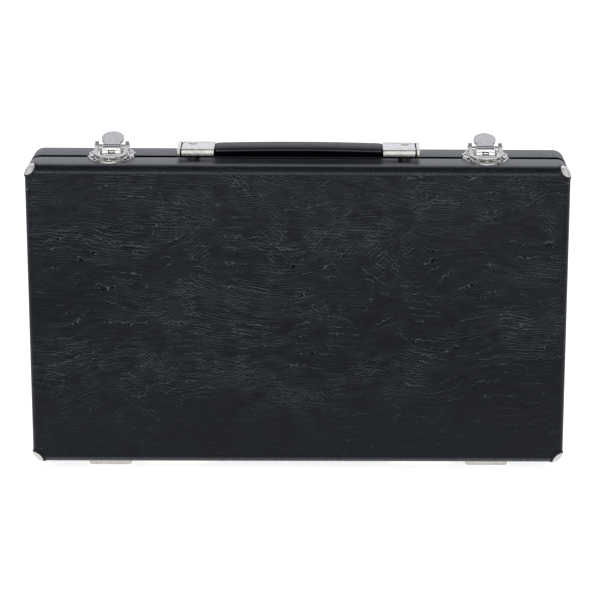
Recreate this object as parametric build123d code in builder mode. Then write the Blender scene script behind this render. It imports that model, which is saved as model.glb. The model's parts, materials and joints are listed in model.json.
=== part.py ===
import os
from math import atan2, cos, degrees, radians, sin

from build123d import *

# Mouthpiece case: two equal leather-covered halves, hinged along the bottom, closed by two draw latches on top.
# It stands upright on its feet: X is its width, the front faces -Y, +Z is up, and the origin is below its middle.

# Case body
case_width = 300.0
case_height = 171.0
half_depth = 26.0
wall = 3.5
seam_gap = 0.4
corner_radius = 6.5
edge_roll = 4.0
rim_roll = 1.5
corner_inside = 2.0

# Plush insert and lining
pad_thickness = 2.0
columns = 6
cup_width = 39.5
cup_length = 34.0
shank_width = 14.0
row_margin = 1.0
divider_below_rim = 1.0
insert_clearance = 0.3

# Feet and corner caps
foot_length = 24.0
foot_width = 6.0
foot_height = 4.5
foot_round = 1.2
foot_plan_round = 2.0
foot_from_end = 43.0
foot_inset = 9.0
foot_screw_x = 7.0
foot_counterbore = 1.2
screw_clearance = 0.2
corner_sheet = 0.4
corner_reach = 7.4

# Hinges
hinge_from_end = 80.0
leaf_length = 36.0
leaf_width = 12.0
leaf_sheet = 0.8
knuckle_radius = 2.0
knuckle_count = 5
knuckle_gap = 0.3
hinge_pin_radius = 1.0
pin_clearance = 0.06

# Latches
latch_from_end = 46.0
plate_half_width = 12.2
plate_length = 22.0
plate_sheet = 0.7
lobe_radius = 2.8
latch_pin_radius = 0.75
pivot_forward = 0.2
pivot_height = 3.0
bail_pin_back = 5.5
bail_pin_height = 4.7
ear_sheet = 0.8
ear_radius = 1.9
ear_foot = 4.6
ear_corner = 1.15
ear_edge = 1.5
barrel_radius = 1.9
roll_radius = 1.2
lever_half_width = 5.2
lever_sheet = 1.1
lever_side_gap = 0.3
tab_tilt = 23.0
tab_radius = 6.3
tab_centre = 6.1
neck_width = 9.0
bail_half_width = 9.5
bail_band = 2.2
bail_sheet = 1.4
bail_front = 16.0
bail_front_height = 1.65
bail_eye_radius = 1.7
horn_height = 2.4
horn_tip = 1.0
hook_sheet = 0.9
hook_height = 2.7
hook_half_width = 3.6
hook_clearance = 0.3
pin_proud = 0.4
peep_width = 2.8
peep_tall = 1.4
peep_depth = 0.7
peep_height = 2.1
peep_round = 0.45

# Handle
grip_length = 93.4
grip_depth = 24.6
grip_thickness = 4.8
grip_crown = 0.7
grip_above_case = 0.95
grip_round = 0.9
grip_corner = 3.0
cap_length = 20.6
cap_depth = 22.0
cap_thickness = 4.1
cap_above_case = 2.1
cap_sheet = 0.8
cap_round = 0.8
tongue_clearance = 0.1
post_inset = 12.5
post_back = 6.0
post_radius = 1.75
post_head_radius = 2.3
post_head_height = 0.5
lift_travel = 18.0
bush_flange_radius = 4.0
bush_barrel_radius = 2.8
bush_below_wall = 1.5
bush_gap = 0.1
post_end = 0.6
stop_radius = 3.0
stop_thickness = 1.2
stop_gap = 0.2
well_half_width = 3.5
well_skin = 1.2
well_clearance = 1.5

# Fasteners
nail_radius = 1.1
nail_height = 0.5
nail_doming = 0.8
nail_shank_radius = 0.5
nail_hold = 2.2
plate_nail_x = 10.2
plate_nail_near = 5.0
plate_nail_far = 18.0
screw_count = 3

# Places worked out from the sizes above
seam_y = corner_sheet / 2
body_bottom = foot_height
top_z = body_bottom + case_height
middle_z = body_bottom + case_height / 2
hinge_z = body_bottom - knuckle_radius
inner_width = case_width - 2 * wall
inner_height = case_height - 2 * wall
insert_width = inner_width - 2 * insert_clearance
insert_height = inner_height - 2 * insert_clearance
row_height = insert_height / 2
column_web = (insert_width - columns * cup_width) / (columns + 1)
column_pitch = cup_width + column_web
foot_x = case_width / 2 - foot_from_end
hinge_x = case_width / 2 - hinge_from_end
latch_x = case_width / 2 - latch_from_end
bail_length = bail_front + bail_pin_back
bail_bend = bail_front - bail_half_width
bar_middle = bail_front - bail_band / 2 + bail_pin_back
bail_tilt = degrees(atan2(bail_pin_height - bail_front_height, bar_middle))
post_x = grip_length / 2 + post_inset
well_depth = wall + bush_below_wall + lift_travel + stop_gap + stop_thickness + well_clearance
sides = (("left", -1), ("right", 1))

os.makedirs("parts", exist_ok=True)


def facing(y):
    # An upright plane across the case at y, looking to the front
    return Plane.XZ.offset(-y)


def section(x):
    # An upright plane along the depth of the case at x
    return Plane.YZ.offset(x)


def over_seam(forward, height):
    # A point of a section, from the seam at the top of the case
    return (seam_y - forward, top_z + height)


def half_shell(back_y, depth, outer_end, rim_end):
    # A tray with rolled outer edges; its ends are chosen along Y
    with BuildPart() as shell:
        with BuildSketch(facing(back_y)):
            with Locations((0, middle_z)):
                RectangleRounded(case_width, case_height, corner_radius)
        extrude(amount=depth)
        fillet(shell.faces().sort_by(Axis.Y)[outer_end].edges(), edge_roll)
        fillet(shell.faces().sort_by(Axis.Y)[rim_end].edges(), rim_roll)
    return shell


def lobed_plate(centre_x, toward):
    # Half of an oval plate with a lobe at each end of its straight side, flat on the top of one half
    with BuildPart() as plate:
        with BuildSketch(Plane.XY.offset(top_z)):
            with Locations((centre_x, seam_y)):
                Ellipse(plate_half_width, plate_length)
            with Locations(*plate_nails(centre_x, toward)[:2]):
                Circle(lobe_radius)
            with Locations((centre_x, seam_y - toward * plate_length)):
                Rectangle(4 * plate_half_width, 2 * plate_length + seam_gap, mode=Mode.SUBTRACT)
            with Locations(*plate_nails(centre_x, toward)):
                Circle(nail_shank_radius, mode=Mode.SUBTRACT)
        extrude(amount=plate_sheet)
    return plate


def plate_nails(centre_x, toward):
    # Where the three nails of a half plate go
    beside = [(centre_x + way * plate_nail_x, seam_y + toward * plate_nail_near) for way in (-1, 1)]
    return beside + [(centre_x, seam_y + toward * plate_nail_far)]


def domed_nails(places, level, up, shank):
    # Nails with domed heads on a level face, their shanks going into what is under it
    with BuildPart() as nails:
        with BuildSketch(Plane.XY.offset(level)):
            with Locations(*places):
                Circle(nail_radius)
        extrude(amount=up * nail_height)
        outer = nails.faces().filter_by(Axis.Z).sort_by(Axis.Z)
        tops = outer[-len(places) :] if up > 0 else outer[: len(places)]
        fillet(tops.edges(), nail_height * nail_doming)
        with BuildSketch(Plane.XY.offset(level)):
            with Locations(*places):
                Circle(nail_shank_radius)
        extrude(amount=-up * shank)
    return nails


def foot_screw_places(centre_x, foot_y):
    # The two screws of a foot
    return [(centre_x + way * foot_screw_x, foot_y) for way in (-1, 1)]


def hinge_screw_places(centre_x, toward):
    # Three in a row along the outer part of a leaf
    row_y = seam_y + toward * (seam_gap / 2 + leaf_width / 2 + knuckle_radius / 2)
    first = centre_x - (screw_count - 1) / 2 * screw_pitch
    return [(first + index * screw_pitch, row_y) for index in range(screw_count)]


# The two halves
back_y = seam_y + half_depth
base_rim_y = seam_y + seam_gap / 2
lid_rim_y = seam_y - seam_gap / 2
half_body = half_depth - seam_gap / 2
front_y = seam_y - half_depth

base_outer = half_shell(back_y, half_body, -1, 0)
with BuildPart() as base_shell:
    add(base_outer.part)
    with BuildSketch(facing(back_y - wall)):
        with Locations((0, middle_z)):
            RectangleRounded(inner_width, inner_height, corner_inside)
    extrude(amount=half_depth, mode=Mode.SUBTRACT)
    for side, sign in sides:
        with BuildSketch(Plane.XY.offset(top_z - 2 * wall)):
            with Locations((sign * post_x, seam_y + post_back)):
                Circle(bush_barrel_radius)
        extrude(amount=3 * wall, mode=Mode.SUBTRACT)
base_shell.part.label = "base_shell"
export_step(base_shell.part, "parts/base_shell.step")

lid_outer = half_shell(lid_rim_y, half_body, 0, -1)
with BuildPart() as lid_shell:
    add(lid_outer.part)
    with BuildSketch(facing(lid_rim_y + wall)):
        with Locations((0, middle_z)):
            RectangleRounded(inner_width, inner_height, corner_inside)
    extrude(amount=half_body, mode=Mode.SUBTRACT)
lid_shell.part.label = "lid_shell"
export_step(lid_shell.part, "parts/lid_shell.step")

# Plush floor of the base and lining of the lid
with BuildPart() as insert_floor:
    with BuildSketch(facing(back_y - wall)):
        with Locations((0, middle_z)):
            RectangleRounded(insert_width, insert_height, corner_inside)
    extrude(amount=pad_thickness)
insert_floor.part.label = "insert_floor"
export_step(insert_floor.part, "parts/insert_floor.step")

with BuildPart() as lid_lining:
    with BuildSketch(facing(front_y + wall + pad_thickness)):
        with Locations((0, middle_z)):
            RectangleRounded(insert_width, insert_height, corner_inside)
    extrude(amount=pad_thickness)
lid_lining.part.label = "lid_lining"
export_step(lid_lining.part, "parts/lid_lining.step")

# Two rows of dividers; each leaves six recesses, wide for the cup and narrow for the shank
divider_back_y = back_y - wall - pad_thickness
divider_depth = divider_back_y - base_rim_y - divider_below_rim
for row, up in (("lower", -1), ("upper", 1)):
    with BuildPart() as dividers:
        with BuildSketch(facing(divider_back_y)):
            with Locations((0, middle_z)):
                RectangleRounded(insert_width, insert_height, corner_inside)
            with Locations((0, middle_z - up * row_height)):
                Rectangle(insert_width, 2 * row_height, mode=Mode.SUBTRACT)
            for column in range(columns):
                column_x = (column - (columns - 1) / 2) * column_pitch
                cup_z = middle_z + up * (row_margin + cup_length / 2)
                shank_z = middle_z + up * (row_height + cup_length) / 2
                with Locations((column_x, cup_z)):
                    Rectangle(cup_width, cup_length, mode=Mode.SUBTRACT)
                with Locations((column_x, shank_z)):
                    Rectangle(shank_width, row_height - cup_length - 2 * row_margin, mode=Mode.SUBTRACT)
        extrude(amount=divider_depth)
        if up > 0:
            for side, sign in sides:
                with BuildSketch(facing(divider_back_y + 1)):
                    with Locations((sign * post_x, top_z - well_depth / 2)):
                        Rectangle(2 * well_half_width, well_depth)
                extrude(amount=divider_depth + 1 - well_skin, mode=Mode.SUBTRACT)
    dividers.part.label = f"{row}_dividers"
    export_step(dividers.part, f"parts/{row}_dividers.step")

# Corner caps of the lid: a thin skin round each front corner
with BuildPart() as corner_form:
    with BuildSketch(facing(lid_rim_y)):
        with Locations((0, middle_z)):
            RectangleRounded(
                case_width + 2 * corner_sheet, case_height + 2 * corner_sheet, corner_radius + corner_sheet
            )
    extrude(amount=half_body + corner_sheet)
    fillet(corner_form.faces().sort_by(Axis.Y)[0].edges(), edge_roll + corner_sheet)
    add(lid_outer.part, mode=Mode.SUBTRACT)
for level, up in (("bottom", -1), ("top", 1)):
    for side, sign in sides:
        corner = (sign * case_width / 2, front_y, middle_z + up * case_height / 2)
        with BuildPart() as corner_cap:
            with Locations(corner):
                Sphere(corner_reach)
            add(corner_form.part, mode=Mode.INTERSECT)
        corner_cap.part.label = f"corner_cap_{level}_{side}"
        export_step(corner_cap.part, f"parts/corner_cap_{level}_{side}.step")

# Feet: two bars under each half, each with two sunk screws
for half, toward in (("base", 1), ("lid", -1)):
    foot_y = seam_y + toward * (half_depth - foot_inset - foot_width / 2)
    for side, sign in sides:
        with BuildPart() as foot:
            with BuildSketch(Plane.XY):
                with Locations((sign * foot_x, foot_y)):
                    RectangleRounded(foot_length, foot_width, foot_plan_round)
            extrude(amount=foot_height)
            fillet(foot.faces().sort_by(Axis.Z)[0].edges(), foot_round)
            with BuildSketch(Plane.XY):
                with Locations(*foot_screw_places(sign * foot_x, foot_y)):
                    Circle(nail_radius + screw_clearance)
            extrude(amount=foot_counterbore, mode=Mode.SUBTRACT)
            with BuildSketch(Plane.XY):
                with Locations(*foot_screw_places(sign * foot_x, foot_y)):
                    Circle(nail_shank_radius)
            extrude(amount=foot_height, mode=Mode.SUBTRACT)
        foot.part.label = f"{half}_foot_{side}"
        export_step(foot.part, f"parts/{half}_foot_{side}.step")

# Hinges: leaves screwed under the halves, with knuckles in turn on one pin
knuckle_pitch = leaf_length / knuckle_count
knuckle_length = knuckle_pitch - knuckle_gap
screw_pitch = leaf_length / screw_count
screw_level = body_bottom - leaf_sheet

for side, sign in sides:
    centre_x = sign * hinge_x
    for half, toward, own in (("base", 1, 0), ("lid", -1, 1)):
        leaf_y = seam_y + toward * (seam_gap / 2 + leaf_width / 2)
        with BuildPart() as leaf:
            with BuildSketch(Plane.XY.offset(body_bottom - leaf_sheet)):
                with Locations((centre_x, leaf_y)):
                    Rectangle(leaf_length, leaf_width)
            extrude(amount=leaf_sheet)
            for index in range(knuckle_count):
                knuckle_x = centre_x + (index - (knuckle_count - 1) / 2) * knuckle_pitch
                with BuildSketch(section(knuckle_x - knuckle_length / 2)):
                    with Locations((seam_y, hinge_z)):
                        Circle(knuckle_radius + (0 if index % 2 == own else knuckle_gap))
                extrude(amount=knuckle_length, mode=Mode.ADD if index % 2 == own else Mode.SUBTRACT)
            with BuildSketch(section(centre_x - leaf_length)):
                with Locations((seam_y, hinge_z)):
                    Circle(hinge_pin_radius + pin_clearance)
            extrude(amount=2 * leaf_length, mode=Mode.SUBTRACT)
            with BuildSketch(Plane.XY.offset(screw_level)):
                with Locations(*hinge_screw_places(centre_x, toward)):
                    Circle(nail_shank_radius)
            extrude(amount=leaf_sheet, mode=Mode.SUBTRACT)
        leaf.part.label = f"hinge_{side}_{half}_leaf"
        export_step(leaf.part, f"parts/hinge_{side}_{half}_leaf.step")
    with BuildPart() as hinge_pin:
        with BuildSketch(section(centre_x - leaf_length / 2)):
            with Locations((seam_y, hinge_z)):
                Circle(hinge_pin_radius)
        extrude(amount=leaf_length)
    hinge_pin.part.label = f"hinge_{side}_pin"
    export_step(hinge_pin.part, f"parts/hinge_{side}_pin.step")

# Screws of the hinges and feet, one group for each half
for half, toward in (("base", 1), ("lid", -1)):
    hinge_places = [place for side, sign in sides for place in hinge_screw_places(sign * hinge_x, toward)]
    hinge_screws = domed_nails(hinge_places, screw_level, -1, leaf_sheet + nail_hold)
    hinge_screws.part.label = f"{half}_hinge_screws"
    export_step(hinge_screws.part, f"parts/{half}_hinge_screws.step")
    foot_y = seam_y + toward * (half_depth - foot_inset - foot_width / 2)
    foot_places = [place for side, sign in sides for place in foot_screw_places(sign * foot_x, foot_y)]
    foot_screws = domed_nails(foot_places, foot_counterbore, -1, foot_height - foot_counterbore + nail_hold)
    foot_screws.part.label = f"{half}_foot_screws"
    export_step(foot_screws.part, f"parts/{half}_foot_screws.step")

# Latches: plate with two ears and lever on the base, bail on the lever, hooked plate on the lid
ear_inner = lever_half_width + lever_side_gap
ear_outer = ear_inner + ear_sheet
arm_inner = bail_half_width - bail_band
pivot = over_seam(pivot_forward, pivot_height)
bail_pivot = over_seam(-bail_pin_back, bail_pin_height)
bail_reach = bail_length / cos(radians(bail_tilt))
bail_straight = bail_reach - bail_half_width
hook_radius = arm_inner - hook_clearance
for side, sign in sides:
    centre_x = sign * latch_x
    base_plate = lobed_plate(centre_x, 1)
    with BuildPart() as latch_plate:
        add(base_plate.part)
        for start in (-ear_outer, ear_inner):
            with BuildSketch(section(centre_x + start)):
                Polygon(
                    over_seam(-ear_foot, plate_sheet / 2),
                    over_seam(-nail_shank_radius, plate_sheet / 2),
                    over_seam(pivot_forward + ear_edge, pivot_height - ear_corner),
                    over_seam(pivot_forward - ear_corner, pivot_height + ear_edge),
                    align=None,
                )
                with Locations(pivot):
                    Circle(ear_radius)
                    Circle(latch_pin_radius, mode=Mode.SUBTRACT)
            extrude(amount=ear_sheet)
    latch_plate.part.label = f"latch_{side}_plate"
    export_step(latch_plate.part, f"parts/latch_{side}_plate.step")

    with BuildPart() as pivot_pin:
        with BuildSketch(section(centre_x - ear_outer - pin_proud)):
            with Locations(pivot):
                Circle(latch_pin_radius)
        extrude(amount=2 * (ear_outer + pin_proud))
    pivot_pin.part.label = f"latch_{side}_pivot_pin"
    export_step(pivot_pin.part, f"parts/latch_{side}_pivot_pin.step")

    tilt = radians(tab_tilt)
    tab_plane = Plane(
        origin=(centre_x, *bail_pivot), x_dir=(1, 0, 0), z_dir=(0, -sin(tilt), cos(tilt))
    )
    with BuildPart() as lever:
        with BuildSketch(section(centre_x - lever_half_width)):
            with Locations(pivot):
                Circle(barrel_radius)
            with Locations(bail_pivot):
                Circle(roll_radius)
            Polygon(
                over_seam(pivot_forward, pivot_height + barrel_radius),
                over_seam(-bail_pin_back, bail_pin_height + roll_radius),
                over_seam(-bail_pin_back, bail_pin_height + roll_radius - lever_sheet),
                over_seam(pivot_forward, pivot_height + barrel_radius - lever_sheet),
                align=None,
            )
        extrude(amount=2 * lever_half_width)
        with BuildSketch(tab_plane.offset(roll_radius - lever_sheet)):
            with Locations((0, tab_centre)):
                Circle(tab_radius)
            with Locations((0, tab_centre / 2)):
                Rectangle(neck_width, tab_centre)
        extrude(amount=lever_sheet)
        with BuildSketch(section(centre_x - 2 * lever_half_width)):
            with Locations(pivot):
                Circle(latch_pin_radius + pin_clearance)
            with Locations(bail_pivot):
                Circle(latch_pin_radius)
        extrude(amount=4 * lever_half_width, mode=Mode.SUBTRACT)
        with BuildSketch(facing(pivot[0] - barrel_radius + peep_depth)):
            with Locations((centre_x, top_z + peep_height)):
                RectangleRounded(peep_width, peep_tall, peep_round)
        extrude(amount=barrel_radius, mode=Mode.SUBTRACT)
    lever.part.label = f"latch_{side}_lever"
    export_step(lever.part, f"parts/latch_{side}_lever.step")

    with BuildPart() as bail_pin:
        with BuildSketch(section(centre_x - bail_half_width - pin_proud)):
            with Locations(bail_pivot):
                Circle(latch_pin_radius)
        extrude(amount=2 * (bail_half_width + pin_proud))
    bail_pin.part.label = f"latch_{side}_bail_pin"
    export_step(bail_pin.part, f"parts/latch_{side}_bail_pin.step")

    lean = radians(bail_tilt)
    bail_plane = Plane(
        origin=(centre_x, *bail_pivot), x_dir=(1, 0, 0), z_dir=(0, -sin(lean), cos(lean))
    )
    with BuildPart() as bail:
        with BuildSketch(bail_plane.offset(-bail_sheet / 2)):
            with Locations((0, -bail_straight)):
                Circle(bail_half_width)
            with Locations((0, -bail_straight / 2)):
                Rectangle(2 * bail_half_width, bail_straight)
            with Locations((0, -bail_straight)):
                Circle(arm_inner, mode=Mode.SUBTRACT)
            with Locations((0, -bail_straight / 2)):
                Rectangle(2 * arm_inner, bail_straight, mode=Mode.SUBTRACT)
        extrude(amount=bail_sheet)
        for start in (-bail_half_width, arm_inner):
            with BuildSketch(section(centre_x + start)):
                with Locations(bail_pivot):
                    Circle(bail_eye_radius)
                Polygon(
                    over_seam(-bail_pin_back - bail_eye_radius, bail_pin_height),
                    over_seam(-bail_pin_back - horn_tip / 2, bail_pin_height + horn_height),
                    over_seam(-bail_pin_back + horn_tip / 2, bail_pin_height + horn_height),
                    over_seam(-bail_pin_back + bail_eye_radius, bail_pin_height),
                    align=None,
                )
            extrude(amount=bail_band)
        with BuildSketch(section(centre_x - 2 * bail_half_width)):
            with Locations(bail_pivot):
                Circle(latch_pin_radius + pin_clearance)
        extrude(amount=4 * bail_half_width, mode=Mode.SUBTRACT)
    bail.part.label = f"latch_{side}_bail"
    export_step(bail.part, f"parts/latch_{side}_bail.step")

    lid_plate = lobed_plate(centre_x, -1)
    with BuildPart() as catch_plate:
        add(lid_plate.part)
        with BuildSketch(Plane.XY.offset(top_z)):
            with Locations((centre_x, seam_y - bail_bend)):
                Circle(hook_radius)
                Circle(hook_radius - hook_sheet, mode=Mode.SUBTRACT)
            with Locations((centre_x, seam_y - bail_bend - hook_radius)):
                Rectangle(2 * hook_half_width, hook_radius, mode=Mode.INTERSECT)
        extrude(amount=hook_height)
    catch_plate.part.label = f"latch_{side}_catch"
    export_step(catch_plate.part, f"parts/latch_{side}_catch.step")

for half, toward in (("base", 1), ("lid", -1)):
    plate_places = [place for side, sign in sides for place in plate_nails(sign * latch_x, toward)]
    latch_nails = domed_nails(plate_places, top_z + plate_sheet, 1, plate_sheet + nail_hold)
    latch_nails.part.label = f"{half}_latch_nails"
    export_step(latch_nails.part, f"parts/{half}_latch_nails.step")

# Handle: flat grip with a metal cap at each end, riveted to two posts that slide in bushes in the base
grip_bottom = top_z + grip_above_case
cap_bottom = top_z + cap_above_case
cap_middle = cap_bottom + cap_thickness / 2
post_y = seam_y + post_back
stop_top = top_z - wall - bush_below_wall - lift_travel - stop_gap
post_bottom = stop_top - stop_thickness - post_end
tongue_end = cap_length - cap_sheet - tongue_clearance
with BuildPart() as grip:
    with BuildSketch(facing(seam_y + grip_depth / 2)):
        with BuildLine():
            low_left = (-grip_length / 2, grip_bottom)
            low_right = (grip_length / 2, grip_bottom)
            high_left = (-grip_length / 2, grip_bottom + grip_thickness)
            high_right = (grip_length / 2, grip_bottom + grip_thickness)
            crown = (0, grip_bottom + grip_thickness + grip_crown)
            Polyline(high_left, low_left, low_right, high_right)
            ThreePointArc(high_right, crown, high_left)
        make_face()
    extrude(amount=grip_depth)
    fillet(grip.edges().filter_by(Axis.Z), grip_corner)
    fillet(grip.faces().sort_by(Axis.Z)[0].edges() + grip.faces().sort_by(Axis.Z)[-1].edges(), grip_round)
    for side, sign in sides:
        with BuildSketch(section(sign * (grip_length / 2 - grip_corner))):
            with Locations((seam_y, cap_middle)):
                Rectangle(
                    cap_depth - 2 * (cap_sheet + tongue_clearance),
                    cap_thickness - 2 * (cap_sheet + tongue_clearance),
                )
        extrude(amount=sign * (grip_corner + tongue_end))
    with BuildSketch(Plane.XY.offset(top_z)):
        with Locations((-post_x, post_y), (post_x, post_y)):
            Circle(post_radius)
    extrude(amount=2 * (cap_above_case + cap_thickness), mode=Mode.SUBTRACT)
grip.part.label = "handle_grip"
export_step(grip.part, "parts/handle_grip.step")

for side, sign in sides:
    with BuildPart() as cap:
        with BuildSketch(Plane.XY.offset(cap_bottom)):
            with Locations((sign * (grip_length + cap_length) / 2, seam_y)):
                Rectangle(cap_length, cap_depth)
        extrude(amount=cap_thickness)
        outer_face = cap.faces().sort_by(Axis.X)[-1 if sign > 0 else 0]
        fillet(outer_face.edges() + cap.edges().filter_by(Axis.X), cap_round)
        with BuildSketch(section(sign * (grip_length / 2))):
            with Locations((seam_y, cap_middle)):
                Rectangle(cap_depth - 2 * cap_sheet, cap_thickness - 2 * cap_sheet)
        extrude(amount=sign * (cap_length - cap_sheet), mode=Mode.SUBTRACT)
        with BuildSketch(Plane.XY.offset(top_z)):
            with Locations((sign * post_x, post_y)):
                Circle(post_radius)
        extrude(amount=2 * (cap_above_case + cap_thickness), mode=Mode.SUBTRACT)
    cap.part.label = f"handle_cap_{side}"
    export_step(cap.part, f"parts/handle_cap_{side}.step")

    with BuildPart() as post:
        with BuildSketch(Plane.XY.offset(post_bottom)):
            with Locations((sign * post_x, post_y)):
                Circle(post_radius)
        extrude(amount=cap_bottom + cap_thickness - post_bottom)
        with BuildSketch(Plane.XY.offset(cap_bottom + cap_thickness)):
            with Locations((sign * post_x, post_y)):
                Circle(post_head_radius)
        extrude(amount=post_head_height)
        fillet(post.faces().sort_by(Axis.Z)[-1].edges(), post_head_height * nail_doming)
    post.part.label = f"handle_post_{side}"
    export_step(post.part, f"parts/handle_post_{side}.step")

    with BuildPart() as stop_clip:
        with BuildSketch(Plane.XY.offset(stop_top - stop_thickness)):
            with Locations((sign * post_x, post_y)):
                Circle(stop_radius)
                Circle(post_radius, mode=Mode.SUBTRACT)
        extrude(amount=stop_thickness)
    stop_clip.part.label = f"handle_stop_{side}"
    export_step(stop_clip.part, f"parts/handle_stop_{side}.step")

    with BuildPart() as bush:
        with BuildSketch(Plane.XY.offset(top_z - wall - bush_below_wall)):
            with Locations((sign * post_x, post_y)):
                Circle(bush_barrel_radius)
        extrude(amount=wall + bush_below_wall)
        with BuildSketch(Plane.XY.offset(top_z)):
            with Locations((sign * post_x, post_y)):
                Circle(bush_flange_radius)
        extrude(amount=cap_above_case - bush_gap)
        with BuildSketch(Plane.XY.offset(top_z - 2 * wall)):
            with Locations((sign * post_x, post_y)):
                Circle(post_radius + pin_clearance)
        extrude(amount=4 * wall, mode=Mode.SUBTRACT)
    bush.part.label = f"handle_bush_{side}"
    export_step(bush.part, f"parts/handle_bush_{side}.step")
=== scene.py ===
import json
import math

import bmesh
import bpy
from mathutils import Matrix, Vector


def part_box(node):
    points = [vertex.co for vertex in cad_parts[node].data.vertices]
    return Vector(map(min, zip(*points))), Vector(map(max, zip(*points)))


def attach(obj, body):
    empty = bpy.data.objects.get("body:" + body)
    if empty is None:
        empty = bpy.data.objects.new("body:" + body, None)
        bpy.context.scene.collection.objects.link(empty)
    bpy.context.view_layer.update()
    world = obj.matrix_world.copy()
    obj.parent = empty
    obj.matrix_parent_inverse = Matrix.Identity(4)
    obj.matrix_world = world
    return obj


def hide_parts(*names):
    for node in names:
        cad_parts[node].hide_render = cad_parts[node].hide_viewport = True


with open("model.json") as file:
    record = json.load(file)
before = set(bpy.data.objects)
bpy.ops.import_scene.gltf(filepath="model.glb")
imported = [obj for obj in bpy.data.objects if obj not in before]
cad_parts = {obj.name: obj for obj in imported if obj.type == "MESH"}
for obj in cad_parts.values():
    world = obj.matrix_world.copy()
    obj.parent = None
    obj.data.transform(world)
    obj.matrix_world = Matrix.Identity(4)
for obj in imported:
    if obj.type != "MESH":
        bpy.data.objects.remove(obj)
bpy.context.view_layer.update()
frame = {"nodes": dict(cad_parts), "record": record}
mm = 0.001

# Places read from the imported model
bodyLow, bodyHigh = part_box("base_shell")
lidLow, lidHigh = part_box("lid_shell")
seamY = (bodyLow.y + lidHigh.y) / 2
caseTop = bodyHigh.z
caseBottom = bodyLow.z
caseMiddle = (caseTop + caseBottom) / 2
halfHeight = caseTop - caseMiddle


# Camera, from the outline of the case in the photograph
cameraLook = {
    "fromCentre": Vector((0.0181, -1.4219, 0.3717)),  # from the middle of the case
    "aim": Vector((0.0485, -0.026, -0.0434)),  # the same way
    "roll": 0.0091,  # radians
    "lens": 155.5,  # mm on a 36 mm sensor
    "shift": (-0.1412, 0.1531),  # the photograph is an off-centre crop
    "seenTo": 20,  # metres
}


def placeCamera():
    look = cameraLook
    back = (look["fromCentre"] - look["aim"]).normalized()
    right = Vector((0, 0, 1)).cross(back).normalized()
    up = back.cross(right)
    across = right * math.cos(look["roll"]) + up * math.sin(look["roll"])
    above = up * math.cos(look["roll"]) - right * math.sin(look["roll"])
    camera = bpy.data.objects.new("photoCamera", bpy.data.cameras.new("photoCamera"))
    camera.data.lens = look["lens"]
    camera.data.shift_x, camera.data.shift_y = look["shift"]
    camera.data.clip_end = look["seenTo"]
    place = Vector((0, seamY, caseMiddle)) + look["fromCentre"]
    turned = Matrix((across, above, back)).transposed().to_4x4()
    camera.matrix_world = Matrix.Translation(place) @ turned
    bpy.context.scene.collection.objects.link(camera)
    bpy.context.scene.camera = camera


placeCamera()
print("camera placed")


# Node materials
noiseRange = (0.3, 0.7)  # most of a noise lies between these


def startMaterial(name):
    material = bpy.data.materials.new(name)
    material.use_nodes = True
    tree = material.node_tree
    return material, tree, tree.nodes["Principled BSDF"]


def addNode(tree, kind, **values):
    node = tree.nodes.new(kind)
    for key, value in values.items():
        setattr(node, key, value)
    return node


def objectPlace(tree, stretch=(1, 1, 1), shift=(0, 0, 0)):
    coords = addNode(tree, "ShaderNodeTexCoord")
    mapping = addNode(tree, "ShaderNodeMapping")
    mapping.inputs["Scale"].default_value = stretch
    mapping.inputs["Location"].default_value = shift
    tree.links.new(coords.outputs["Object"], mapping.inputs["Vector"])
    return mapping.outputs["Vector"]


def splitAxes(tree, vector):
    split = addNode(tree, "ShaderNodeSeparateXYZ")
    tree.links.new(vector, split.inputs[0])
    return split.outputs


def noiseValue(tree, vector, scale, detail=3.0, roughness=0.5, distortion=0.0, output="Fac"):
    noise = addNode(tree, "ShaderNodeTexNoise")
    noise.inputs["Scale"].default_value = scale
    noise.inputs["Detail"].default_value = detail
    noise.inputs["Roughness"].default_value = roughness
    noise.inputs["Distortion"].default_value = distortion
    tree.links.new(vector, noise.inputs["Vector"])
    return noise.outputs[output]


def doMath(tree, operation, first, second=None, third=None, clamp=False):
    node = addNode(tree, "ShaderNodeMath", operation=operation, use_clamp=clamp)
    for socket, value in zip(node.inputs, (first, second, third)):
        if value is None:
            continue
        if isinstance(value, (int, float)):
            socket.default_value = value
        else:
            tree.links.new(value, socket)
    return node.outputs[0]


def multiply(tree, first, second):
    return doMath(tree, "MULTIPLY", first, second)


def greatest(tree, values):
    total = values[0]
    for value in values[1:]:
        total = doMath(tree, "MAXIMUM", total, value)
    return total


def awayFrom(tree, value, place):
    return doMath(tree, "ABSOLUTE", doMath(tree, "SUBTRACT", value, place))


def ramp(tree, value, low, high, lowOut=0.0, highOut=1.0):
    node = addNode(tree, "ShaderNodeMapRange", clamp=True, interpolation_type="SMOOTHSTEP")
    node.inputs["From Min"].default_value = low
    node.inputs["From Max"].default_value = high
    node.inputs["To Min"].default_value = lowOut
    node.inputs["To Max"].default_value = highOut
    tree.links.new(value, node.inputs["Value"])
    return node.outputs["Result"]


def bandOf(tree, value, low, high, soft, strength=1.0):
    rise = ramp(tree, value, low - soft, low + soft, 0.0, strength)
    return multiply(tree, rise, ramp(tree, value, high - soft, high + soft, 1.0, 0.0))


def blendColours(tree, factor, first, second):
    node = addNode(tree, "ShaderNodeMix", data_type="RGBA")
    tree.links.new(factor, node.inputs["Factor"])
    for index, value in ((6, first), (7, second)):  # the two colour sockets
        if isinstance(value, tuple):
            node.inputs[index].default_value = (*value, 1)
        else:
            tree.links.new(value, node.inputs[index])
    return node.outputs[2]


def bumpFrom(tree, shader, height, strength, distance):
    bump = addNode(tree, "ShaderNodeBump")
    bump.inputs["Strength"].default_value = strength
    bump.inputs["Distance"].default_value = distance
    tree.links.new(height, bump.inputs["Height"])
    tree.links.new(bump.outputs["Normal"], shader.inputs["Normal"])


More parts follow.
